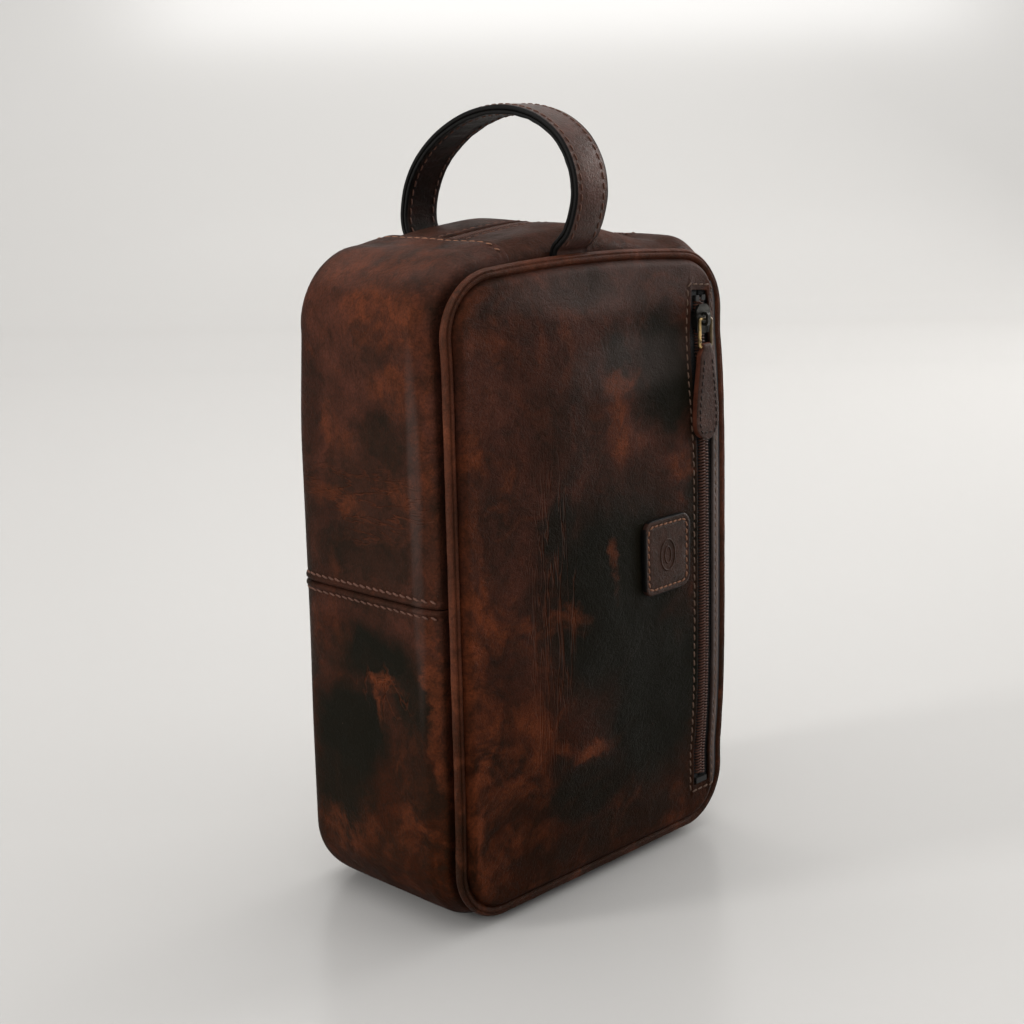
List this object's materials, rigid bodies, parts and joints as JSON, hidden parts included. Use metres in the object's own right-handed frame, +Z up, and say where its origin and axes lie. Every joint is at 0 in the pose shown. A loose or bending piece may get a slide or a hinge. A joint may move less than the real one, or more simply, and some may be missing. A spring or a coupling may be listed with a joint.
{
  "type": "shaving kit bag",
  "caption": "Upright leather toiletry case with piped panels, a wrap-round zip mouth, a zip pocket on the front and a loop handle on its short end.",
  "frame": {"origin": "middle of the base, on the surface the bag stands on", "axes": "+Z up the standing bag to the handle, +X to the right along the front, -Y out of the front panel with the pocket zip"},
  "size_m": [0.1704, 0.1024, 0.3134],
  "materials": {
    "body_leather": "waxed pull-up leather, semi-gloss, mottled dark brown",
    "piping_leather": "waxed leather, red-brown",
    "handle_leather": "waxed leather, grey-brown, dark edges",
    "tab_leather": "waxed leather, brown",
    "patch_leather": "plain embossing-free leather, mid brown",
    "lining_cloth": "woven cotton, dark",
    "zip_tape": "woven tape, black",
    "zip_coil": "brown metallic nylon coil",
    "zip_metal": "antique dark metal",
    "ring_metal": "brass",
    "piping_core": "twisted cord"
  },
  "bodies": {
    "bag": {"front_panel": "body_leather", "back_panel": "body_leather", "front_piping": "piping_leather", "back_piping": "piping_leather", "front_piping_cord": "piping_core", "back_piping_cord": "piping_core", "band_upper": "body_leather", "band_lower": "body_leather", "zip_panel_front": "body_leather", "zip_panel_back": "body_leather", "main_zip_tape_front": "zip_tape", "main_zip_tape_back": "zip_tape", "main_zip_coil_front": "zip_coil", "main_zip_coil_back": "zip_coil", "main_zip_end_stops": "zip_metal", "pocket_zip_tape_left": "zip_tape", "pocket_zip_tape_right": "zip_tape", "pocket_zip_coil_left": "zip_coil", "pocket_zip_coil_right": "zip_coil", "pocket_zip_top_stops": "zip_metal", "pocket_zip_bottom_stop": "zip_metal", "pocket_bag": "lining_cloth", "patch": "patch_leather", "front_lining": "lining_cloth", "back_lining": "lining_cloth", "band_lining": "lining_cloth", "inner_slip_pocket": "lining_cloth", "handle_tail_front": "handle_leather", "handle_tail_back": "handle_leather"},
    "handle": {"handle_strap_outer": "handle_leather", "handle_strap_inner": "handle_leather"},
    "pocket_slider": {"pocket_slider": "zip_metal"},
    "pocket_ring": {"pocket_pull_ring": "ring_metal"},
    "pocket_tab": {"pocket_pull_tab": "tab_leather"},
    "main_slider": {"main_slider": "zip_metal"},
    "main_ring": {"main_pull_ring": "ring_metal"},
    "main_tab": {"main_pull_tab": "tab_leather"}
  },
  "joints": [
    {"name": "handle_swing", "type": "hinge", "parent": "bag", "child": "handle", "pos_m": [-0.009, 0, 0.257], "axis": [0, 1, 0], "range_deg": [-70, 70], "stiffness_Nm_per_rad": 0.025},
    {"name": "pocket_slider_run", "type": "slide", "parent": "bag", "child": "pocket_slider", "axis": [0, 0, 1], "range_m": [-0.19, 0]},
    {"name": "pocket_ring_swing", "type": "hinge", "parent": "pocket_slider", "child": "pocket_ring", "pos_m": [0.063, -0.04855, 0.226], "axis": [-1, 0, 0], "range_deg": [0, 120]},
    {"name": "pocket_tab_swing", "type": "hinge", "parent": "pocket_ring", "child": "pocket_tab", "pos_m": [0.063, -0.04855, 0.2144], "axis": [-1, 0, 0], "range_deg": [0, 50]},
    {"name": "main_slider_run", "type": "slide", "parent": "bag", "child": "main_slider", "axis": [0, 0, 1], "range_m": [0, 0.16]},
    {"name": "main_ring_swing", "type": "hinge", "parent": "main_slider", "child": "main_ring", "pos_m": [0.08535, 0, 0.056], "axis": [0, -1, 0], "range_deg": [0, 120]},
    {"name": "main_tab_swing", "type": "hinge", "parent": "main_ring", "child": "main_tab", "pos_m": [0.08535, 0, 0.0444], "axis": [0, -1, 0], "range_deg": [0, 50]}
  ]
}
